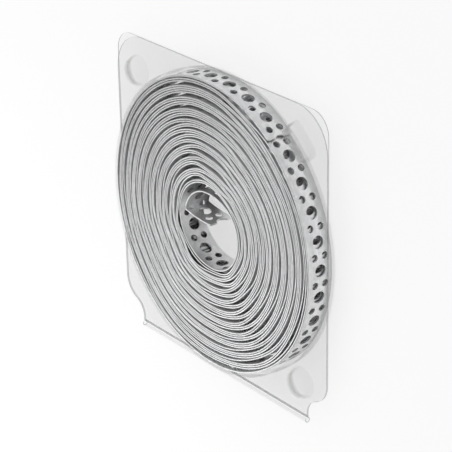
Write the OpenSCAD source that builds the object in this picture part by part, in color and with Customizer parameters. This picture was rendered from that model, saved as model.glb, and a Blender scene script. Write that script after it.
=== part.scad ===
// Perforated steel strap, coiled and shut in a clear folding pack.
// Millimetres, +Z up. The pack lies on its back, with its fold on the -Y side.

/* [Strap] */
// Width of the strap
strap_w = 12; // [10:0.5:30]
// Thickness of the strap
strap_t = 0.7; // [0.5:0.05:1]
// Diameter of the large holes
big_d = 5.2; // [3:0.1:8]
// Diameter of the small holes
small_d = 3; // [1.5:0.1:4]
// Distance across the strap between the two small holes of a pair
pair_w = 5; // [4.5:0.1:6]
// Length of strap from one large hole to the next
hole_pitch = 11.5; // [10:0.1:20]

/* [Coil] */
// Outer diameter of the coil
coil_od = 124; // [110:1:200]
// Bore of the coil
bore_d = 37; // [30:0.5:45]
// Turns from the bore to the outside
turns = 39; // [20:1:46]
// Depth of the gaps between the turns, as seen on the ends
gap_depth = 1; // [0.3:0.1:1.5]
// Angle at which the outer end of the strap lies
tip_angle = 52; // [0:1:359]
// Length from the outer end to the first pair of small holes
tip_l = 4.1; // [2.5:0.1:8]

/* [Loose inner end] */
// Room between the bore wall and the loose curl
curl_gap = 3.3; // [1:0.1:5]
// Angle at which the curl leaves its round and runs out to the bore wall
curl_leave = 85; // [70:1:110]
// Radius of that run-out
runout_r = 35; // [28:0.5:60]
// How sharply the run-out turns away from the curl
runout_turn = 4; // [3:0.5:10]
// Angle of the kink
kink_angle = 168; // [150:1:180]
// How far the strap bulges on each side at the kink
kink_bulge = 0.15; // [0.05:0.05:0.4]
// Length of the straight tongue, to its forked end
tongue_l = 16.9; // [14:0.1:19]
// Slope of the tongue
tongue_slope = -6; // [-15:1:5]

/* [Pack] */
// Thickness of the clear sheet
sheet_t = 0.4; // [0.25:0.05:0.6]
// Least width of the rim, beside the pocket
rim_w = 1.8; // [1:0.1:10]
// Corner radius of the front rim, away from the fold
front_corner_r = 17; // [8:0.5:20]
// Corner radius of the back rim, away from the fold
back_corner_r = 9; // [5:0.5:20]
// Corner radius of both rims, beside the fold
fold_corner_r = 10; // [6:0.5:12]
// How far the fold's ends lie inside the rim's sides
fold_inset = 11.5; // [8:0.5:16]
// How far the rim's corners lie above the fold
corner_rise = 8.5; // [7:0.5:12]
// Radius of the notch between fold and rim
notch_r = 8; // [5:0.5:9]
// Outer radius of the rolled fold
fold_r = 1.2; // [0.9:0.1:2]
// Slope of the pocket walls, in degrees
draft = 5; // [2:0.5:12]
// Outer radius of the pocket's rounded edge
edge_r = 1.2; // [1:0.1:2]

/* [Snap studs and clip] */
// Room between the pocket and the studs
stud_gap = 1.9; // [0.5:0.1:4]
// Diameter of a stud at its foot
stud_d = 13; // [10:0.5:14]
// Diameter of a stud at its top
stud_top_d = 9.6; // [6:0.2:10]
// Height of a stud over the rim
stud_h = 3.4; // [2:0.1:5]
// Room between the pocket and the clip
clip_gap = 4.5; // [0.5:0.1:5]
// Length of the clip
clip_l = 15; // [10:0.5:18]
// Width of the clip
clip_w = 8.5; // [6:0.5:10]
// Corner radius of the clip
clip_r = 2.4; // [1:0.1:2.8]
// Height of the clip over the rim
clip_h = 3.6; // [1.5:0.1:5]

/* [Clearances] */
// Between the coil's outside and the pocket wall
coil_clear = 0.8; // [0.6:0.1:3]
// Between the coil's ends and the pocket faces
end_clear = 0.1; // [0.05:0.05:0.5]
// Between the two rims, and between the fold and the front rim
rim_clear = 0.1; // [0.05:0.05:0.3]
// Between a back stud and the front stud around it
stud_clear = 0.2; // [0.1:0.05:0.4]

/* [Hidden] */
$fn = 96;
lap = 0.01;

coil_r = coil_od / 2;
bore_r = bore_d / 2;
turn_pitch = (coil_r - bore_r) / turns;
gap_w = turn_pitch - strap_t;
// the last turn spirals in by one pitch, so its inside lies half a pitch lower on average
core_r = coil_r - turn_pitch / 2 - strap_t;
// how far off the axis its two half rounds lie, to a whole micrometre so that they meet
off_axis = round(turn_pitch * 250) / 1000;

curl_r = bore_r - curl_gap - strap_t;
curl_mid_r = curl_r + strap_t / 2;

coil_z = sheet_t + end_clear;
mid_z = coil_z + strap_w / 2;
half_h = mid_z - rim_clear / 2;
pocket_r = coil_r + coil_clear;
mouth_r = pocket_r + sheet_t + half_h * tan(draft);
rim = mouth_r + rim_w;
fold_y = -rim - rim_clear - fold_r;
stud_at = (mouth_r + stud_gap + stud_d / 2) / sqrt(2);
clip_at = (mouth_r + clip_gap + clip_w / 2) / sqrt(2);

// Outline of the last turn: two half rounds, whose centres lie either side of the axis
// so that the radius falls by one pitch on the way round to the tip
module last_turn_outline() {
  rotate(tip_angle) {
    intersection() {
      translate([off_axis, 0]) circle(coil_r - off_axis);
      translate([-coil_od, 0]) square([2 * coil_od, coil_od]);
    }
    intersection() {
      translate([-off_axis, 0]) circle(coil_r - 3 * off_axis);
      translate([-coil_od, -coil_od]) square([2 * coil_od, coil_od]);
    }
  }
}

// Half section of the other turns, with the gaps between them open at both ends
module turns_section() {
  difference() {
    translate([bore_r, 0]) square([core_r - bore_r, strap_w]);
    for (i = [0 : turns - 2], z = [-1, strap_w - gap_depth])
      translate([core_r - gap_w - i * turn_pitch, z])
        square([gap_w + (i == 0 ? 1 : 0), gap_depth + 1]);
  }
}

// One step of the punching: a large hole, or a pair of small ones across the strap
module punch(large, depth) {
  if (large) cylinder(d = big_d, h = depth);
  else for (s = [-1, 1]) translate([s * pair_w / 2, 0, 0]) cylinder(d = small_d, h = depth);
}

module punch_round(angle, r_from, r_to, large) {
  rotate(angle) translate([r_from, 0, strap_w / 2]) rotate([0, 90, 0]) punch(large, r_to - r_from);
}

// Punching of the last turn, counted from the tip, which was cut through a large hole
module outer_punching() {
  steps = floor((2 * PI * coil_r - 2 * tip_l) / (hole_pitch / 2));
  for (i = [-1 : steps]) {
    turned = (tip_l + i * hole_pitch / 2) / coil_r * 180 / PI;
    surface_r = coil_r - turn_pitch * max(turned, 0) / 360;
    punch_round(tip_angle + turned, surface_r - strap_t, coil_r + 2, i % 2 != 0);
  }
}

// Punching of the first turn, seen in the bore
module bore_punching() {
  steps = 2 * floor(2 * PI * bore_r / hole_pitch);
  for (i = [0 : steps - 1])
    punch_round(curl_leave + i * 360 / steps, bore_r - 2, bore_r + strap_t, i % 2 == 0);
}

// A stretch of strap on edge, bent round the axis between two angles
module bent_strap(r, from, to) {
  reach = 2 * r;
  intersection() {
    difference() {
      circle(r + strap_t);
      circle(r);
    }
    polygon([[0, 0], reach * [cos(from), sin(from)], reach * [cos(to), sin(to)]]);
  }
}

module at_kink() {
  rotate(kink_angle) translate([curl_mid_r, 0, 0]) rotate(tongue_slope - kink_angle) children();
}

// The loose end on edge: a curl that runs out to the bore wall, the kink and the tongue
module loose_end_outline() {
  bent_strap(curl_r, curl_leave, kink_angle);
  intersection() {
    rotate(curl_leave) translate([curl_mid_r, 0]) rotate(-runout_turn)
      translate([-runout_r, 0]) bent_strap(runout_r - strap_t / 2, -60, 1);
    circle(bore_r + strap_t / 2);
  }
  at_kink() {
    circle(d = strap_t + 2 * kink_bulge);
    translate([0, -strap_t / 2]) square([tongue_l, strap_t]);
  }
}

// The loose end with its holes counted from the kink; the tongue was cut through a large hole
module loose_end() {
  step = hole_pitch / 2 / curl_r * 180 / PI;
  difference() {
    linear_extrude(strap_w) loose_end_outline();
    for (i = [1 : floor((kink_angle - curl_leave) / step)])
      punch_round(kink_angle - i * step, curl_r - 2, curl_r + strap_t + 2, i % 2 == 1);
    at_kink() for (i = [1 : floor(tongue_l / (hole_pitch / 2) + 0.5)])
      translate([i * hole_pitch / 2, strap_t, strap_w / 2]) rotate([90, 90, 0])
        punch(i % 2 == 1, 2 * strap_t);
  }
}

module strap_coil() {
  color("silver") translate([0, 0, coil_z]) {
    difference() {
      union() {
        rotate_extrude() turns_section();
        linear_extrude(strap_w) difference() {
          last_turn_outline();
          circle(core_r - lap);
        }
      }
      outer_punching();
      bore_punching();
    }
    loose_end();
  }
}

// Half section of a pocket, as a solid with a rounded lower edge and a sloping wall,
// which starts a hair inside the round so that the two cross
module pocket_section(r, z_low, z_high, round_r) {
  centre = [r - round_r, z_low + round_r];
  wall = centre + (round_r - lap) * [cos(draft), -sin(draft)];
  translate(centre) circle(round_r);
  polygon([[0, z_low], [centre[0], z_low], centre, wall,
           [wall[0] + (z_high - wall[1]) * tan(draft), z_high], [0, z_high]]);
}

// Outline of the rim, with a notch at each end of the fold
module rim_outline(corner_r) {
  low = -rim + corner_rise + fold_corner_r;
  corner_x = rim - fold_corner_r;
  fold_x = rim - fold_inset;
  notch_x = fold_x + notch_r;
  notch_y = low - sqrt((fold_corner_r + notch_r) ^ 2 - (notch_x - corner_x) ^ 2);
  translate([-rim, low]) square([2 * rim, rim - corner_r - low]);
  translate([-rim + corner_r, 0]) square([2 * (rim - corner_r), rim]);
  translate([-fold_x, -rim]) square([2 * fold_x, rim]);
  for (s = [0, 1]) mirror([s, 0]) {
    translate([rim - corner_r, rim - corner_r]) circle(corner_r);
    translate([corner_x, low]) circle(fold_corner_r);
    difference() {
      polygon([[fold_x - 1, low], [corner_x, low], [notch_x, notch_y], [fold_x - 1, notch_y]]);
      translate([notch_x, notch_y]) circle(notch_r);
    }
  }
}

// Pocket and rim of one half, with its pocket downwards and the rim's face at half_h
module half_tray(corner_r) {
  difference() {
    union() {
      rotate_extrude() intersection() {
        pocket_section(pocket_r + sheet_t, 0, half_h, edge_r);
        square([2 * pocket_r, half_h]);
      }
      translate([0, 0, half_h - sheet_t]) linear_extrude(sheet_t) rim_outline(corner_r);
    }
    rotate_extrude() intersection() {
      pocket_section(pocket_r, sheet_t, half_h + 1, edge_r - sheet_t);
      square([2 * pocket_r, half_h + 1]);
    }
  }
}

// Both studs as cones that start at z_low, drawn in by shrink on the side and the top
module studs(z_low, shrink) {
  foot_z = mid_z + rim_clear / 2 + sheet_t;
  slope = (stud_d - stud_top_d) / 2 / stud_h;
  foot_r = stud_d / 2 - shrink + slope * (foot_z - z_low);
  h = foot_z + stud_h - shrink - z_low;
  for (s = [-1, 1]) translate([s * stud_at, -s * stud_at, z_low])
    cylinder(r1 = foot_r, r2 = foot_r - slope * h, h = h);
}

// The clip as a rounded block across the corner, drawn in by shrink
module clip(z_low, shrink) {
  foot_z = mid_z + rim_clear / 2 + sheet_t;
  translate([clip_at, clip_at, z_low]) rotate(-45)
    linear_extrude(foot_z + clip_h - shrink - z_low) {
      square([clip_l - 2 * clip_r, clip_w - 2 * shrink], center = true);
      square([clip_l - 2 * shrink, clip_w - 2 * clip_r], center = true);
      for (x = [-1, 1], y = [-1, 1])
        translate([x * (clip_l / 2 - clip_r), y * (clip_w / 2 - clip_r)]) circle(clip_r - shrink);
    }
}

module pack_back() {
  inside = sheet_t + stud_clear;
  fold_l = 2 * (rim - fold_inset);
  color([0.9, 0.92, 0.93, 0.35]) {
    difference() {
      union() {
        half_tray(back_corner_r);
        studs(half_h - sheet_t, inside);
      }
      studs(half_h - sheet_t - 1, inside + sheet_t);
    }
    // the fold is rolled round the line on which the pack opens
    difference() {
      union() {
        translate([0, fold_y, mid_z]) rotate([0, 90, 0]) cylinder(r = fold_r, h = fold_l, center = true);
        translate([-fold_l / 2, fold_y, half_h - sheet_t]) cube([fold_l, -rim - fold_y + lap, sheet_t]);
      }
      translate([0, fold_y, mid_z]) rotate([0, 90, 0])
        cylinder(r = fold_r - sheet_t, h = fold_l + 2, center = true);
    }
  }
}

module pack_front() {
  color([0.9, 0.92, 0.93, 0.35]) difference() {
    union() {
      translate([0, 0, 2 * mid_z]) mirror([0, 0, 1]) half_tray(front_corner_r);
      studs(mid_z + rim_clear / 2, 0);
      clip(mid_z + rim_clear / 2, 0);
    }
    studs(mid_z - 1, sheet_t);
    clip(mid_z - 1, sheet_t);
  }
}

strap_coil();
pack_back();
pack_front();
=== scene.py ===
import math

import bmesh
import bpy
import numpy as np
from mathutils import Matrix, Vector
from mathutils.geometry import delaunay_2d_cdt


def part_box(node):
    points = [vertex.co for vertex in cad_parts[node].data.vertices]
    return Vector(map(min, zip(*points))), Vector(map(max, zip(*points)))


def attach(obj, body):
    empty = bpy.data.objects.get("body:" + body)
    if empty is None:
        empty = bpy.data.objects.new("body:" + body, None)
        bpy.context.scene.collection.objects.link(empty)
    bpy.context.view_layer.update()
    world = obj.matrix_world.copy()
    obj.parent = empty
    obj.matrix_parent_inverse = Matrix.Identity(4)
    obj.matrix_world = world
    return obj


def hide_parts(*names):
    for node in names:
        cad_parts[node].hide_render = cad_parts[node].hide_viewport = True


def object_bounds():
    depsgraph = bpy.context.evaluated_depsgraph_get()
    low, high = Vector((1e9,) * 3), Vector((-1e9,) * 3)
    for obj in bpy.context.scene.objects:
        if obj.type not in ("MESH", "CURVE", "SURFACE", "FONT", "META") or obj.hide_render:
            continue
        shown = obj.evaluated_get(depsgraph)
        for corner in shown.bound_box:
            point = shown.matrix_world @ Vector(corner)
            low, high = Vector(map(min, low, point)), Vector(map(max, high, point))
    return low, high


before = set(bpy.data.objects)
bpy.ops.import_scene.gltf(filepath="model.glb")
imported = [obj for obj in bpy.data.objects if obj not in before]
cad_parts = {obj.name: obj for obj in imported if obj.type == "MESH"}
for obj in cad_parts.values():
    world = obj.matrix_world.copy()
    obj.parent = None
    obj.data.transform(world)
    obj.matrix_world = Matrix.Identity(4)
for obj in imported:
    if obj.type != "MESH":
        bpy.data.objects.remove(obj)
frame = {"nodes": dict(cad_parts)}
cadLow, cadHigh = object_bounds()
mm = 0.001
cadHeight = cadHigh.z / mm
hair = 1e-4             # in mm, values this close count as equal
onePoint = 1e-7         # points closer than this are joined
sharpAngle = 40         # edges that turn by more than this stay sharp
print("frame loaded:", ", ".join(frame["nodes"]))

# Strap: lengths in mm, angles in degrees seen from the front, anticlockwise from +X.
strap = {
    "thick": 0.7,
    "bigHole": 5.2,
    "smallHole": 3.0,
    "pairAcross": 5.0,
    "holePitch": 11.5,
    "innerTipToPair": 5.4,      # both ends are cut through a large hole
    "outerTipToPair": 4.1,
    "fineHoleSides": (24, 14),  # large and small holes where they show
    "plainHoleSides": (10, 6),  # and between the turns
    "fineLength": 900,          # length of strap at each end with fine holes
    "cellSteps": (6, 4),        # along one pitch: in the inner third and those ends, and elsewhere
    "endCornerRadius": 0.9,
    "cornerSteps": 4,
    "notchSteps": 14,
    "edgeBevel": 0.15,
    # lengths at the inner and the outer end: faces towards the open are bright in the first turn and the
    # last two, darkened by painted shade in the turns next to them and dull farther in; faces turned away
    # are bright on the loose end only
    "brightEnds": (170, 780),
    "paintedShadeEnds": (362, 1160),
    "paintedShade": (1, 0.6),       # how dark that painted shade is, from 0 to 1
    "brightBacks": (60, 0),
}

# Coil: how the strap is wound, from the loose inner end to the outer tip.
coil = {
    "outerRadius": 62.3,
    "boreRadius": 18.5,
    "startAngle": 34,
    "tipAngle": 52,
    "turns": 39,
    "curlRadius": 14.8,
    "curlAngles": (85, 168),    # from the run-out to the kink
    "curlStep": 0.4,            # in degrees
    "tongueSlopes": (-15, 4),   # at the kink and at the forked end
    "tongueLength": 16.9,
    "tongueStep": 0.1,
    "kinkRound": 0.55,
    "tightGap": 0.14,           # between turns that touch
    # open gaps lie in columns round the coil, each column in one turn out of four
    "gapColumns": 12,
    "gapTurns": (0, 2, 1, 3),
    "gapDrift": 0.03,           # how far the columns move on with each turn, as a share of their spacing
    "gapWander": 0.25,          # and how far they stray
    "gapWaves": ((2, 0.7), (3, 2.1)),   # waves of that straying in each turn, and where they start
    "gapUneven": 0.35,
    # the run-out from the curl and the first turn, which stands off in places:
    # degrees past the start, radius
    "firstTurn": ((-51, 14.8), (-32, 15.4), (-22, 16.0), (-9, 17.1), (0, 17.8), (14, 18.6), (34, 19.1),
                  (54, 19.2), (90, 18.7), (130, 17.4), (165, 17.4), (200, 18.1), (255, 18.75), (300, 18.5),
                  (335, 17.9), (360, 18.6)),
    "lastGap": 0.25,            # the last turns spring out by this much
    "lastTurns": 2,
    "springOver": 60,           # degrees in which they do
    # degrees each way in the moving means
    "meanOver": {"firstTurn": 11, "standOff": 15, "lenses": 12, "winding": 7},
    "edgeWander": 0.1,          # how far the turns stand out of line on the ends
    "edgeWaves": ((37, 0), (61, 1)),    # in waves: mm of strap for each radian, and where they start
    "seed": 11,
}


# A smooth hump from -1 to 1.
def hump(x):
    return np.clip(1 - x * x, 0, None) ** 2


# Weights of a moving mean that reaches some steps each way.
def meanWeights(reach):
    weights = hump(np.linspace(-1, 1, 2 * reach + 1))
    return weights / weights.sum()


# Radius of the run-out and the first turn, some degrees past the start.
def firstTurn(degrees):
    angles, radii = zip(*coil["firstTurn"])
    reach = coil["meanOver"]["firstTurn"]
    near = np.add.outer(degrees, np.arange(-reach, reach + 1))
    return np.interp(near, angles, radii) @ meanWeights(reach)


# Radius of the strap's middle line at every degree of the winding.
def windingRadii():
    rng = np.random.default_rng(coil["seed"])
    total = 360 * coil["turns"] - (coil["tipAngle"] - coil["startAngle"])
    turned = np.arange(total + 1)
    pitch = (coil["outerRadius"] - coil["boreRadius"]) / coil["turns"]
    last = coil["outerRadius"] - strap["thick"] / 2
    reach = coil["meanOver"]

    # place counted in columns along the strap; a gap reaches one column each way
    columns, period = coil["gapColumns"], len(coil["gapTurns"])
    stray = sum(np.sin(np.radians(turned) * count + start) for count, start in coil["gapWaves"])
    place = turned * (columns + coil["gapDrift"]) / 360 + coil["gapWander"] * stray + 1
    number = np.arange(int(place[-1]) + 2)
    isOpen = number % columns % period == np.array(coil["gapTurns"])[number // columns % period]
    heights = isOpen * (1 + coil["gapUneven"] * rng.uniform(-1, 1, len(number)))
    before = np.floor(place).astype(int)
    share = np.sin(math.pi / 2 * (place - before)) ** 2
    lenses = heights[before] * (1 - share) + heights[before + 1] * share

    # gaps that don't depend on the lenses
    first = firstTurn(turned[:360])
    standOff = np.maximum(coil["boreRadius"] - strap["thick"] / 2 - first, coil["tightGap"])
    padded = np.pad(standOff, reach["standOff"], mode="edge")
    gaps = np.full(total + 1, coil["tightGap"])
    gaps[:360] = np.convolve(padded, meanWeights(reach["standOff"]), "valid")
    springs = np.clip((turned - total + 360 * coil["lastTurns"]) / coil["springOver"], 0, 1)
    gaps += coil["lastGap"] * springs * springs * (3 - 2 * springs)

    # the lenses take up the room that is left in each direction
    scale = np.zeros(360)
    for angle in range(360):
        column = np.arange(angle, total + 1, 360)
        room = last - pitch * (total - column[-1]) / 360 - first[angle]
        room -= (len(column) - 1) * strap["thick"] + gaps[column[:-1]].sum()
        scale[angle] = room / lenses[column[:-1]].sum()
    scale = np.convolve(np.tile(scale, 3), meanWeights(reach["lenses"]), "same")[360:720]
    gaps += lenses * scale[turned % 360]

    radii = np.zeros(total + 1)
    radii[:360] = first
    for k in range(360, total + 1):
        radii[k] = radii[k - 360] + strap["thick"] + gaps[k - 360]
    padded = np.pad(radii, reach["winding"], mode="reflect", reflect_type="odd")
    return np.convolve(padded, meanWeights(reach["winding"]), "valid")


def onCircle(radius, degrees):
    angle = np.radians(degrees)
    return np.column_stack([radius * np.cos(angle), radius * np.sin(angle)])


# Middle line of the whole strap, from the forked inner end to the outer tip.
def strapPath():
    leave, kink = coil["curlAngles"]
    step = coil["tongueStep"]
    corner = onCircle(coil["curlRadius"], np.array([kink]))[0]
    count = int(coil["tongueLength"] / step)
    slopes = np.radians(np.linspace(*coil["tongueSlopes"], count))
    tongue = corner + step * np.cumsum(np.column_stack([np.cos(slopes), np.sin(slopes)]), axis=0)
    curl = onCircle(coil["curlRadius"], np.arange(kink, leave, -coil["curlStep"]))
    runTurned = np.arange(leave, coil["startAngle"], -coil["curlStep"])
    runOut = onCircle(firstTurn(coil["startAngle"] - runTurned), runTurned)
    loose = np.vstack([tongue[::-1], curl, runOut])

    # the kink is rounded by a moving mean along the loose end
    count = int(coil["kinkRound"] / step)
    weights = meanWeights(count + 1)[1:-1]
    padded = np.pad(loose, ((count, count), (0, 0)), mode="reflect", reflect_type="odd")
    loose = np.column_stack([np.convolve(padded[:, i], weights, "valid") for i in (0, 1)])
    radii = windingRadii()
    wound = onCircle(radii, coil["startAngle"] - np.arange(len(radii)))
    return np.vstack([loose, wound])


# Triangles of a flat piece with holes, and its border as directed edges.
def flatPiece(outline, holes):
    points, edges = [], []
    for loop in [outline, *holes]:
        start = len(points)
        points += [Vector(p) for p in loop]
        edges += [(start + i, start + (i + 1) % len(loop)) for i in range(len(loop))]
    verts, _, faces, *_ = delaunay_2d_cdt(points, edges, [], 0, onePoint)
    loops = [np.array(loop) for loop in [outline, *holes]]

    def within(loop, x, y):
        x0, y0 = loop.T
        x1, y1 = np.roll(loop, -1, axis=0).T
        crosses = (y0 > y) != (y1 > y)
        with np.errstate(divide="ignore", invalid="ignore"):
            left = x < (x1 - x0) * (y - y0) / (y1 - y0) + x0
        return bool(np.count_nonzero(crosses & left) % 2)

    kept = []
    for face in faces:
        middle = sum((verts[i] for i in face), Vector((0, 0))) / 3
        inHoles = any(within(loop, *middle) for loop in loops[1:])
        if within(loops[0], *middle) and not inHoles:
            kept.append(tuple(face))
    directed = {(f[i], f[(i + 1) % 3]) for f in kept for i in range(3)}
    border = [e for e in directed if (e[1], e[0]) not in directed]
    return np.array([v[:] for v in verts]), kept, sorted(border)


def circleLoop(x, y, radius, sides):
    return [(x + radius * math.cos(math.tau * i / sides), y + radius * math.sin(math.tau * i / sides))
            for i in range(sides)]


def arcPoints(x, y, radius, fromDeg, toDeg, steps):
    return [(x + radius * math.cos(math.radians(a)), y + radius * math.sin(math.radians(a)))
            for a in np.linspace(fromDeg, toDeg, steps + 1)]


# A pair of small holes side by side across the strap.
def pairLoops(x, sides):
    return [circleLoop(x, side * strap["pairAcross"] / 2, strap["smallHole"] / 2, sides) for side in (-1, 1)]


# One pitch of strap, with a pair of small holes and then a large one.
def strapCell(pitch, width, sides, steps):
    pairAt = (pitch / 2 - strap["bigHole"] / 2 + strap["smallHole"] / 2) / 2
    bigAt = pairAt + pitch / 2
    low = [(pitch * i / steps, -width / 2) for i in range(steps + 1)]
    high = [(x, width / 2) for x, _ in reversed(low)]
    holes = [circleLoop(bigAt, 0, strap["bigHole"] / 2, sides[0])] + pairLoops(pairAt, sides[1])
    return flatPiece(low + high, holes), pairAt


# An end of the strap, cut through a large hole, with its tip at 0.
def strapEnd(reach, width, notchAt, pairAt):
    radius, half = strap["endCornerRadius"], width / 2
    opening = math.degrees(math.acos(-notchAt / (strap["bigHole"] / 2)))
    outline = [(reach, -half), (reach, half), (reach / 2, half)]
    outline += arcPoints(radius, half - radius, radius, 90, 180, strap["cornerSteps"])
    outline += arcPoints(notchAt, 0, strap["bigHole"] / 2, opening, -opening, strap["notchSteps"])
    outline += arcPoints(radius, -half + radius, radius, 180, 270, strap["cornerSteps"])
    outline += [(reach / 2, -half)]
    holes = [] if pairAt is None else pairLoops(pairAt, strap["fineHoleSides"][1])
    return flatPiece(outline, holes)


def meshObject(name, verts, faces):
    mesh = bpy.data.meshes.new(name)
    mesh.from_pydata([tuple(v) for v in verts], [], faces)
    piece = bpy.data.objects.new(name, mesh)
    bpy.context.scene.collection.objects.link(piece)
    return piece


# Merges doubles, turns the faces outwards and shades them smooth up to an angle.
def tidyMesh(piece, apart=onePoint):
    bm = bmesh.new()
    bm.from_mesh(piece.data)
    bmesh.ops.remove_doubles(bm, verts=bm.verts, dist=apart)
    bmesh.ops.recalc_face_normals(bm, faces=bm.faces)
    bm.to_mesh(piece.data)
    bm.free()
    piece.data.shade_smooth()
    piece.data.set_sharp_from_angle(angle=math.radians(sharpAngle))
    piece.data.calc_loop_triangles()
    print(piece.name, "triangles:", len(piece.data.loop_triangles))


# The whole strap: flat cells laid along the path, each with two faces and its walls.
def makeStrap():
    low, high = (Vector(corner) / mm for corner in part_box("strap_coil"))
    width, middle = high.z - low.z - 2 * coil["edgeWander"], (high.z + low.z) / 2
    path = strapPath()
    length = np.concatenate([[0], np.cumsum(np.linalg.norm(np.diff(path, axis=0), axis=1))])
    tangent = np.gradient(path, length, axis=0)
    tangent /= np.linalg.norm(tangent, axis=1)[:, None]
    total = length[-1]
    cells = round((total - strap["innerTipToPair"] - strap["outerTipToPair"]) / strap["holePitch"])
    pitch = (total - strap["innerTipToPair"] - strap["outerTipToPair"]) / cells
    verts, faces, flat, faceKindAndShade = [], [], [], []

    def lay(piece, start, direction, endRound):
        points, triangles, border = piece
        along = start + direction * points[:, 0]
        at = np.column_stack([np.interp(along, length, path[:, i]) for i in (0, 1)])
        side = np.column_stack([np.interp(along, length, tangent[:, 1]),
                                np.interp(along, length, -tangent[:, 0])])
        side *= strap["thick"] / 2 / np.linalg.norm(side, axis=1)[:, None]
        waves = sum(np.sin(along / radian + begin) for radian, begin in coil["edgeWaves"])
        height = middle + coil["edgeWander"] * waves / len(coil["edgeWaves"])
        onEdge = abs(points[:, 1]) > width / 2 - hair
        bevel = np.where(onEdge & (points[:, 0] > endRound + hair), strap["edgeBevel"], 0)
        faceY = points[:, 1] - np.sign(points[:, 1]) * bevel
        edgeShare = 1 - bevel / (strap["thick"] / 2)
        backs, fronts, farIn = ((along > ends[0]) & (along < total - ends[1])
                                for ends in (strap["brightBacks"], strap["brightEnds"], strap["paintedShadeEnds"]))
        inner = along < total / 2
        paintedShade = np.where(inner, *strap["paintedShade"])
        first, count = sum(map(len, verts)), len(points)
        # four points for each one of the flat piece: two on the faces and two on the bevelled edge
        rows = ((1, faceY), (edgeShare, points[:, 1]), (-edgeShare, points[:, 1]), (-1, faceY))
        for row, (share, across) in enumerate(rows):
            verts.append(np.column_stack([at + np.reshape(share, (-1, 1)) * side, height + across]))
            flat.append(np.column_stack([along, across]))
            towardsOpen = inner == (row == 0)
            # between the bright ends and the dull middle, faces towards the open get painted shade: a
            # negative kind darkens their colour
            kind = np.where(towardsOpen, fronts * np.where(farIn, 1, -paintedShade), backs)
            faceKindAndShade.append(kind * (across is faceY))
        for a, b, c in triangles:
            faces.append((first + a, first + b, first + c))
            faces.append((first + 3 * count + c, first + 3 * count + b, first + 3 * count + a))
        reach = points[:, 0].max()
        for a, b in border:
            joins = all(abs(points[i, 0] - reach) < hair for i in (a, b))
            opens = direction > 0 and start > 0 and all(points[i, 0] < hair for i in (a, b))
            if joins or opens:
                continue
            levels = (0, 1, 2, 3) if onEdge[a] and onEdge[b] else (0, 3)
            for upper, lower in zip(levels, levels[1:]):
                upper, lower = first + upper * count, first + lower * count
                faces.append((upper + b, upper + a, lower + a, lower + b))

    close, wide = strap["cellSteps"]
    kinds = {}
    for fine, steps in ((True, close), (False, close), (False, wide)):
        sides = strap["fineHoleSides"] if fine else strap["plainHoleSides"]
        kinds[fine, steps], pairAt = strapCell(pitch, width, sides, steps)
    start = strap["innerTipToPair"] - pairAt
    innerEnd = strapEnd(start, width, strap["innerTipToPair"] - pitch / 2, None)
    lay(innerEnd, 0, 1, strap["endCornerRadius"])
    for i in range(cells):
        at = start + i * pitch
        fine = at < strap["fineLength"] or at > total - strap["fineLength"]
        steps = close if fine or at < total / 3 else wide
        lay(kinds[fine, steps], at, 1, -1)
    last = start + cells * pitch
    outerEnd = strapEnd(total - last, width, strap["outerTipToPair"] - pitch / 2, strap["outerTipToPair"])
    lay(outerEnd, total, -1, strap["endCornerRadius"])
    piece = meshObject("strap", np.vstack(verts) * mm, faces)
    place = piece.data.attributes.new("strapPlace", "FLOAT_VECTOR", "POINT")
    flat = np.vstack(flat)
    place.data.foreach_set("vector", np.column_stack([flat, np.zeros(len(flat))]).astype(np.float32).ravel())
    # kind of each face for the zinc; its negative values are painted shade
    shadeAndKind = piece.data.attributes.new("faceKindAndShade", "FLOAT", "POINT")
    shadeAndKind.data.foreach_set("value", np.concatenate(faceKindAndShade).astype(np.float32))
    tidyMesh(piece)
    print("strap:", round(total), "mm long,", cells, "pitches of", round(pitch, 3), "mm")
    return piece


strapPiece = makeStrap()
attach(strapPiece, "pack_base")
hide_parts("strap_coil")


def newMaterial(name):
    material = bpy.data.materials.new(name)
    material.use_nodes = True
    tree = material.node_tree
    tree.nodes.clear()
    output = tree.nodes.new("ShaderNodeOutputMaterial")
    return material, tree, output


# Fills a node's inputs: another node's output is linked, and anything else is set on the socket.
def feed(node, inputs):
    for key, value in inputs.items():
        if isinstance(value, bpy.types.NodeSocket):
            node.id_data.links.new(value, node.inputs[key])
        else:
            node.inputs[key].default_value = value
    return node


def readAttribute(tree, name):
    node = tree.nodes.new("ShaderNodeAttribute")
    node.attribute_name = name
    return node.outputs


def mathNode(tree, operation, *inputs):
    node = tree.nodes.new("ShaderNodeMath")
    node.operation = operation
    return feed(node, dict(enumerate(inputs))).outputs[0]


def mapRange(tree, value, fromRange=(0, 1), toRange=(0, 1)):
    node = feed(tree.nodes.new("ShaderNodeMapRange"), {
        "Value": value,
        "From Min": fromRange[0],
        "From Max": fromRange[1],
        "To Min": toRange[0],
        "To Max": toRange[1],
    })
    return node.outputs["Result"]


def mixShaders(tree, share, first, second):
    return feed(tree.nodes.new("ShaderNodeMixShader"), {"Fac": share, 1: first, 2: second}).outputs["Shader"]


# Zinc: cool grey, with a fine crystal bloom and drawn streaks along the strap, in mm.
zinc = {
    "dull": (0.64, 0.645, 0.65, 1),
    "bright": (0.84, 0.845, 0.85, 1),
    "toneRange": (0.2, 0.75),   # of the grain, from dull to bright
    "dullMetallic": 0.1,        # on the faces between the turns
    "paintedShadeShare": 0.06,          # painted shade: share of the colour kept on the darkest of those near the ends
    "crystalSize": 1.6,
    "streakLength": 40.0,
    "streakWidth": 0.35,
    "streakDetail": 4,
    "streakShare": 0.6,         # in the grain, and the rest is crystals
    "roughLow": 0.28,
    "roughHigh": 0.46,
    "bumpStrength": 0.15,
    "bumpDepth": 0.05,
}


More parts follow.
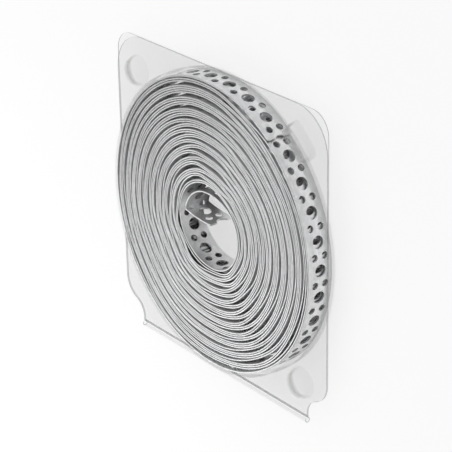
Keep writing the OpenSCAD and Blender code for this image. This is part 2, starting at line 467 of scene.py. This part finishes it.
def zincMaterial():
    material, tree, output = newMaterial("zinc_steel")
    add = tree.nodes.new
    place = readAttribute(tree, "strapPlace")["Vector"]
    crystal = feed(add("ShaderNodeTexVoronoi"), {"Vector": place, "Scale": 1 / zinc["crystalSize"]})
    stretch = feed(add("ShaderNodeMapping"), {
        "Vector": place,
        "Scale": (1 / zinc["streakLength"], 1 / zinc["streakWidth"], 1),
    })
    streak = feed(add("ShaderNodeTexNoise"), {
        "Vector": stretch.outputs["Vector"],
        "Scale": 1,
        "Detail": zinc["streakDetail"],
    })
    blend = add("ShaderNodeMix")
    blend.data_type = "FLOAT"
    feed(blend, {"Factor": zinc["streakShare"], "A": crystal.outputs["Color"], "B": streak.outputs["Fac"]})
    grain = blend.outputs["Result"]
    colour = feed(add("ShaderNodeValToRGB"), {"Fac": grain})
    tones = (zinc["dull"], zinc["bright"])
    for stop, position, tone in zip(colour.color_ramp.elements, zinc["toneRange"], tones):
        stop.position = position
        stop.color = tone
    bump = feed(add("ShaderNodeBump"), {
        "Strength": zinc["bumpStrength"],
        "Distance": zinc["bumpDepth"] * mm,
        "Height": streak.outputs["Fac"],
    })

    # kind of face: -1 dark with painted shade, 0 bright, 1 dull; the painted shade darkens the colour
    kind = readAttribute(tree, "faceKindAndShade")["Fac"]
    shaded = add("ShaderNodeMix")
    shaded.data_type = "RGBA"
    shaded.blend_type = "MULTIPLY"
    feed(shaded, {
        "Factor": 1,
        "A": colour.outputs["Color"],
        "B": mapRange(tree, kind, (-1, 0), (zinc["paintedShadeShare"], 1)),
    })
    metal = feed(add("ShaderNodeBsdfPrincipled"), {
        "Base Color": shaded.outputs["Result"],
        "Metallic": mapRange(tree, kind, (0, 1), (1, zinc["dullMetallic"])),
        "Roughness": mapRange(tree, grain, (0, 1), (zinc["roughHigh"], zinc["roughLow"])),
        "Normal": bump.outputs["Normal"],
    })
    feed(output, {"Surface": metal.outputs["BSDF"]})
    return material


# Clear sheet: lets light through, with a trace of haze, and mirrors more at a slant.
clear = {
    "tint": (0.960, 0.960, 0.960, 1),
    "mirrorFacing": 0.001,
    "slantTint": (0.80, 0.80, 0.80, 1),
    "mirrorSlant": 0.22,
    "slantPower": 6,
    "rough": 0.07,
    "haze": 0.002,
    "drawnHaze": 0.10,          # more where the sheet is drawn into the clip and, less, the studs
    "hazeColour": (1, 1, 1, 1),
    # painted shade: the grey of the cut edge stands in for the dark line that refraction draws along a clear
    # edge
    "cutEdge": (0.50, 0.51, 0.51, 1),
    "cutGloss": 0.12,
    "cutRough": 0.25,
}


def clearMaterial():
    material, tree, output = newMaterial("clear_sheet")
    add = tree.nodes.new
    facing = add("ShaderNodeLayerWeight").outputs["Facing"]
    slant = mathNode(tree, "POWER", facing, clear["slantPower"])
    straight = feed(add("ShaderNodeBsdfTransparent"), {"Color": clear["tint"]})
    slanted = feed(add("ShaderNodeBsdfTransparent"), {"Color": clear["slantTint"]})
    through = mixShaders(tree, slant, straight.outputs["BSDF"], slanted.outputs["BSDF"])
    cloud = readAttribute(tree, "cloud")["Fac"]
    hazeShare = mathNode(tree, "MULTIPLY_ADD", cloud, clear["drawnHaze"], clear["haze"])
    haze = feed(add("ShaderNodeBsdfDiffuse"), {"Color": clear["hazeColour"]})
    cloudy = mixShaders(tree, hazeShare, through, haze.outputs["BSDF"])
    mirrorShare = mathNode(tree, "MULTIPLY_ADD", slant, clear["mirrorSlant"], clear["mirrorFacing"])
    gloss = feed(add("ShaderNodeBsdfGlossy"), {"Roughness": clear["rough"]})
    feed(output, {"Surface": mixShaders(tree, mirrorShare, cloudy, gloss.outputs["BSDF"])})
    return material


# The cut edge's grey is painted shade for the dark line that refraction draws there.
def cutEdgeMaterial():
    material, tree, output = newMaterial("clear_sheet_edge")
    add = tree.nodes.new
    through = feed(add("ShaderNodeBsdfTransparent"), {"Color": clear["cutEdge"]})
    gloss = feed(add("ShaderNodeBsdfGlossy"), {"Roughness": clear["cutRough"]})
    edge = mixShaders(tree, clear["cutGloss"], through.outputs["BSDF"], gloss.outputs["BSDF"])
    feed(output, {"Surface": edge})
    return material


strapPiece.data.materials.append(zincMaterial())
sheetMaterials = (clearMaterial(), cutEdgeMaterial())
print("materials made")

# Pack: a clear sheet drawn into two round pockets with a fold between them, in mm.
pack = {
    "sheet": 0.4,
    "pocketRadius": 62.8,       # inside, at the pocket's face
    "pocketRings": (52, 36, 18),
    "pocketSides": 192,
    "draft": 5,
    "edgeRound": 1.2,
    "footRound": 0.9,
    "frontCorner": 17.0,
    "backCorner": 9.0,
    "foldCorner": 10.0,
    "foldInset": 11.5,
    "cornerRise": 8.5,
    "notchRound": 8.0,
    "rimSteps": (8, 14, 16),    # in the notch, the corner by the fold and the far corner
    "foldRound": 1.2,
    "foldGap": 0.1,
    "foldLap": 0.3,             # of the fold over the back rim
    "foldEnd": -320,            # where its roll ends, in degrees
    "foldSteps": (24, 40),      # along it and round it
    "studGap": 1.9,
    "studFoot": 13.0,
    "studTop": 9.6,
    "studHeight": 3.4,
    "studClear": 0.2,
    "studRing": 1.5,
    "studSides": 48,
    "studCloud": 0.3,
    "clipGap": 4.5,
    "clipLength": 15.0,
    "clipWidth": 8.5,
    "clipCorner": 2.4,
    "clipLeastCorner": 0.3,
    "clipSteps": 6,
    "clipHeight": 3.6,
    "clipLean": 0.06,
    "clipRing": 2.2,            # drawn in on its top
    "clipCloud": 1,
    "softRound": 0.7,           # rounding at the top and foot of the studs and the clip
    "raisedSteps": (4, 2, 5),   # in the foot, the side and the top edge of a raised form
}


# Outline of a rim with notches at the ends of the fold, anticlockwise from the fold's right end.
def rimOutline(rim, cornerRadius):
    low = -rim + pack["cornerRise"] + pack["foldCorner"]
    cornerX = rim - pack["foldCorner"]
    foldX = rim - pack["foldInset"]
    notchX = foldX + pack["notchRound"]
    reach = pack["foldCorner"] + pack["notchRound"]
    notchY = low - math.sqrt(reach ** 2 - (notchX - cornerX) ** 2)
    meet = math.degrees(math.atan2(low - notchY, cornerX - notchX))
    notchSteps, foldSteps, cornerSteps = pack["rimSteps"]
    right = [(foldX, -rim)]
    right += arcPoints(notchX, notchY, pack["notchRound"], 180, meet, notchSteps)
    right += arcPoints(cornerX, low, pack["foldCorner"], meet - 180, 0, foldSteps)[1:]
    right += arcPoints(rim - cornerRadius, rim - cornerRadius, cornerRadius, 0, 90, cornerSteps)
    return right + [(-x, y) for x, y in reversed(right)]


# Rounded rectangle across the upper right corner, drawn in by some amount.
def clipLoop(at, drawIn):
    halfX, halfY = pack["clipLength"] / 2 - drawIn, pack["clipWidth"] / 2 - drawIn
    radius = max(pack["clipCorner"] - drawIn, pack["clipLeastCorner"])
    loop = []
    for quarter, (sx, sy) in enumerate(((1, 1), (-1, 1), (-1, -1), (1, -1))):
        middleX, middleY = sx * (halfX - radius), sy * (halfY - radius)
        loop += arcPoints(middleX, middleY, radius, 90 * quarter, 90 * quarter + 90, pack["clipSteps"])
    slant = math.radians(-45)
    return [(at + x * math.cos(slant) - y * math.sin(slant), at + x * math.sin(slant) + y * math.cos(slant))
            for x, y in loop]


# Steps of a soft raised form: how far its side has drawn in at each height.
def raisedProfile(height, lean, top, foot):
    footSteps, sideSteps, topSteps = pack["raisedSteps"]
    steps = []
    for a in np.linspace(0, 90, footSteps + 1):
        t = math.radians(a)
        steps.append((-foot + foot * math.sin(t), foot - foot * math.cos(t)))
    base = steps[-1][1]
    for h in np.linspace(base, height - top, sideSteps + 1)[1:]:
        steps.append(((h - base) * lean, h))
    side = (height - top - base) * lean
    for a in np.linspace(0, 90, topSteps + 1)[1:]:
        t = math.radians(a)
        steps.append((side + top - top * math.cos(t), height - top + top * math.sin(t)))
    return steps


# One half of the pack as a sheet with thickness: outward is 1 for the front and -1 for the back.
def makeHalf(name, node, body, cornerRadius, outward, withClip):
    rim, sheet = (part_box(node)[1] / mm).x, pack["sheet"]
    depth = cadHeight / 2 - sheet - pack["foldGap"] / 2
    rimZ = cadHeight / 2 + outward * (pack["foldGap"] / 2 + sheet)
    lean = math.tan(math.radians(pack["draft"]))
    verts, faces, cloud = [], [], []

    def add(points, height, cloudy=0):
        first = len(verts)
        verts.extend((x, y, rimZ + outward * height) for x, y in points)
        cloud.extend([cloudy] * len(points))
        return first

    # walls between the loops and a fan on the last one; the foot, which the rim shares, isn't cloudy
    def stack(loops, cloudy=0):
        starts = []
        for loop, height in loops:
            starts.append(add(loop, height, cloudy if starts else 0))
        count = len(loops[0][0])
        for a, b in zip(starts, starts[1:]):
            for i in range(count):
                j = (i + 1) % count
                faces.append((a + i, a + j, b + j, b + i))
        middle = np.mean(loops[-1][0], axis=0)
        centre = add([middle], loops[-1][1], cloudy)
        for i in range(count):
            faces.append((starts[-1] + i, starts[-1] + (i + 1) % count, centre))

    # pocket: foot, sloping wall, rounded edge and face
    mouth = pack["pocketRadius"] + sheet + (cadHeight / 2) * lean
    pocket = []
    for drawIn, height in raisedProfile(depth, lean, pack["edgeRound"], pack["footRound"]):
        pocket.append((circleLoop(0, 0, mouth - drawIn, pack["pocketSides"]), height))
    for radius in pack["pocketRings"]:
        pocket.append((circleLoop(0, 0, radius, pack["pocketSides"]), depth))
    stack(pocket)
    feet = [pocket[0][0]]

    # studs in two corners, which the back half carries inwards
    studAt = (mouth + pack["studGap"] + pack["studFoot"] / 2) / math.sqrt(2)
    studFoot, studHeight = pack["studFoot"] / 2, pack["studHeight"]
    if outward < 0:
        studFoot -= pack["studClear"] + sheet
        studHeight -= pack["studClear"]
    studLean = (pack["studFoot"] - pack["studTop"]) / 2 / pack["studHeight"]
    for side in (-1, 1):
        x, y = side * studAt, -side * studAt
        loops = []
        for drawIn, height in raisedProfile(studHeight, studLean, pack["softRound"], pack["softRound"]):
            loops.append((circleLoop(x, y, studFoot - drawIn, pack["studSides"]), height * outward))
        loops.append((circleLoop(x, y, pack["studRing"], pack["studSides"]), studHeight * outward))
        stack(loops, pack["studCloud"])
        feet.append(loops[0][0])

    if withClip:
        clipAt = (mouth + pack["clipGap"] + pack["clipWidth"] / 2) / math.sqrt(2)
        profile = raisedProfile(pack["clipHeight"], pack["clipLean"], pack["softRound"], pack["softRound"])
        loops = [(clipLoop(clipAt, drawIn), height) for drawIn, height in profile]
        loops.append((clipLoop(clipAt, pack["clipRing"]), pack["clipHeight"]))
        stack(loops, pack["clipCloud"])
        feet.append(loops[0][0])

    points, triangles, _ = flatPiece(rimOutline(rim, cornerRadius), feet)
    first = add(points, 0)
    faces.extend(tuple(first + i for i in t) for t in triangles)
    piece = meshObject(name, np.array(verts) * mm, faces)
    piece.data.attributes.new("cloud", "FLOAT", "POINT").data.foreach_set("value", cloud)
    tidyMesh(piece, 20 * onePoint)      # the rim's points are rounded off a little
    if piece.data.polygons[-1].normal.z * outward < 0:
        piece.data.flip_normals()
    thicken(piece, sheet, -1)
    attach(piece, body)
    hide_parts(node)


# Gives a sheet its thickness, with the cut edge as a second material and flats that shade flat.
def thicken(piece, thick, offset):
    for material in sheetMaterials:
        piece.data.materials.append(material)
    solid = piece.modifiers.new("sheet", "SOLIDIFY")
    solid.thickness = thick * mm
    solid.offset = offset
    solid.use_even_offset = True
    solid.use_quality_normals = True
    solid.material_offset_rim = 1
    ready = piece.evaluated_get(bpy.context.evaluated_depsgraph_get())
    thin, piece.data = piece.data, bpy.data.meshes.new_from_object(ready)
    bpy.data.meshes.remove(thin)
    piece.modifiers.clear()
    piece.data.shade_smooth()
    piece.data.set_sharp_from_angle(angle=math.radians(sharpAngle))
    flats = piece.modifiers.new("flats", "WEIGHTED_NORMAL")
    flats.keep_sharp = True


makeHalf("pack_front_sheet", "pack_front", "pack_lid", pack["frontCorner"], 1, True)
makeHalf("pack_back_sheet", "pack_back", "pack_base", pack["backCorner"], -1, False)


# The rolled fold on which the pack opens, joined to the back rim.
def makeFold():
    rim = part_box("pack_front")[1].x / mm
    half = rim - pack["foldInset"]
    radius = pack["foldRound"] - pack["sheet"] / 2
    axisY, axisZ = -rim - pack["foldGap"] - pack["foldRound"], cadHeight / 2
    backZ = cadHeight / 2 - pack["foldGap"] / 2 - pack["sheet"] / 2
    start = math.degrees(math.asin((backZ - axisZ) / radius))
    lengthSteps, roundSteps = pack["foldSteps"]
    profile = [(-rim + pack["foldLap"], backZ), (-rim - pack["foldGap"] / 2, backZ)]
    profile += arcPoints(axisY, axisZ, radius, start, pack["foldEnd"], roundSteps)
    verts, faces = [], []
    for x in np.linspace(-half, half, lengthSteps + 1):
        verts += [(x, y, z) for y, z in profile]
    count = len(profile)
    for i in range(lengthSteps):
        for j in range(count - 1):
            a = i * count + j
            faces.append((a, a + 1, a + count + 1, a + count))
    piece = meshObject("pack_fold", np.array(verts) * mm, faces)
    tidyMesh(piece)
    thicken(piece, pack["sheet"], 0)
    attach(piece, "pack_base")


makeFold()
print("pack made")


# Stage: white floor that keeps a faint shadow, even light from all round and two soft lamps.
stage = {
    "floorSize": 4.0,
    "floorDrop": 0.0002,        # keeps it clear of the pack's back
    "floorColour": (0.45, 0.45, 0.45, 1),
    "floorGlow": 0.70,          # keeps the floor white where it is seen, so shadows stay faint
    # the mirrored floor is dimmer in the bore and close round the coil, a painted shade:
    # distance from the axis in mm, strength
    "mirrorGlow": ((0, 0.70), (40, 0.70), (62, 0.50), (63.5, 0.52), (66, 0.90), (76, 0.95)),
    "curlShade": (-17, 4),      # and painted shade makes it dark below the loose end: place and reach in mm
    "shadeReach": (8, 12),
    "skyTop": 0.66,             # light from the far side of the pack, and from the side of its fold
    "skyLow": 0.25,
    "lamps": {                  # place, size and power
        "top_light": ((0.05, 0.85, 0.45), 0.6, 0.5),
        "front_box": ((-0.326, -0.379, 0.256), 0.5, 1.1),
    },
}


# Strength of the floor's glow, even where it is seen and dimmer near the coil where it is mirrored, which is
# painted shade.
def floorGlow(tree):
    add = tree.nodes.new
    place = add("ShaderNodeTexCoord").outputs["Object"]
    fromCurl = add("ShaderNodeVectorMath")
    fromCurl.operation = "DISTANCE"
    feed(fromCurl, {0: place, 1: (*(v * mm for v in stage["curlShade"]), 0)})
    clearOfCurl = mapRange(tree, fromCurl.outputs["Value"], [v * mm for v in stage["shadeReach"]])
    fromAxis = add("ShaderNodeVectorMath")
    fromAxis.operation = "LENGTH"
    feed(fromAxis, {0: place})
    farthest = stage["mirrorGlow"][-1][0]
    outShare = mapRange(tree, fromAxis.outputs["Value"], (0, farthest * mm))
    glow = feed(add("ShaderNodeValToRGB"), {"Fac": outShare})
    stops = glow.color_ramp.elements
    stops.remove(stops[1])
    for i, (distance, strength) in enumerate(stage["mirrorGlow"]):
        stop = stops.new(distance / farthest) if i else stops[0]
        stop.color = (strength, strength, strength, 1)
    path = add("ShaderNodeLightPath").outputs
    seen = mathNode(tree, "MULTIPLY", path["Is Camera Ray"], stage["floorGlow"])
    # painted shade on the mirrored glow: dimmer below the loose end and near the coil
    lit = mathNode(tree, "MULTIPLY", clearOfCurl, glow.outputs["Color"])
    mirrored = mathNode(tree, "MULTIPLY", path["Is Glossy Ray"], lit)
    return mathNode(tree, "MAXIMUM", seen, mirrored)


def makeStage():
    bpy.ops.mesh.primitive_plane_add(size=stage["floorSize"], location=(0, 0, -stage["floorDrop"]))
    floor = bpy.context.object
    floor.name = "floor"
    material, tree, output = newMaterial("floor_white")
    add = tree.nodes.new
    matte = feed(add("ShaderNodeBsdfDiffuse"), {"Color": stage["floorColour"]})
    glow = feed(add("ShaderNodeEmission"), {"Strength": floorGlow(tree)})
    both = feed(add("ShaderNodeAddShader"), {0: matte.outputs["BSDF"], 1: glow.outputs["Emission"]})
    feed(output, {"Surface": both.outputs["Shader"]})
    floor.data.materials.append(material)

    # the light from all round is white where it is seen
    world = bpy.data.worlds.new("studio")
    world.use_nodes = True
    bpy.context.scene.world = world
    tree = world.node_tree
    add = tree.nodes.new
    direction = add("ShaderNodeTexCoord").outputs["Generated"]
    split = feed(add("ShaderNodeSeparateXYZ"), {"Vector": direction})
    fade = mapRange(tree, split.outputs["Y"], (-1, 1), (stage["skyLow"], stage["skyTop"]))
    seen = add("ShaderNodeLightPath").outputs["Is Camera Ray"]
    strength = feed(add("ShaderNodeMix"), {"Factor": seen, "A": fade, "B": 1})
    feed(tree.nodes["Background"], {"Color": (1, 1, 1, 1), "Strength": strength.outputs["Result"]})

    for name, (place, size, power) in stage["lamps"].items():
        lamp = bpy.data.lights.new(name, "AREA")
        lamp.energy = power
        lamp.size = size
        holder = bpy.data.objects.new(name, lamp)
        holder.location = place
        holder.rotation_euler = (-holder.location).to_track_quat("-Z", "Y").to_euler()
        bpy.context.scene.collection.objects.link(holder)


makeStage()

# Camera: turned to the right of the front face and raised above it, in degrees and metres.
view = {
    "right": 51.863,
    "raise": 24.904,
    "roll": -1.172,
    "distance": 0.7338,
    "target": (0.0120, 0.0047, 0.0125),
    "nearest": 0.01,
    "lens": 148.53,             # in mm, as the sensor
    "sensor": 36,
}


def makeCamera():
    right, rise, roll = (math.radians(view[k]) for k in ("right", "raise", "roll"))
    back = Vector((math.sin(right) * math.cos(rise), math.sin(rise), math.cos(right) * math.cos(rise)))
    level = Vector((0, 1, 0)).cross(back).normalized()
    upright = back.cross(level)
    across = level * math.cos(roll) + upright * math.sin(roll)
    up = upright * math.cos(roll) - level * math.sin(roll)
    data = bpy.data.cameras.new("camera")
    data.lens = view["lens"]
    data.sensor_width = view["sensor"]
    data.clip_start = view["nearest"]
    camera = bpy.data.objects.new("camera", data)
    camera.matrix_world = Matrix((across, up, back)).transposed().to_4x4()
    camera.location = Vector(view["target"]) + back * view["distance"]
    bpy.context.scene.collection.objects.link(camera)
    bpy.context.scene.camera = camera


makeCamera()
bpy.context.scene.view_settings.view_transform = "Standard"
bpy.context.scene.cycles.max_bounces = 16
bpy.context.scene.cycles.glossy_bounces = 12
bpy.context.scene.cycles.transparent_max_bounces = 32
print("stage and camera set")
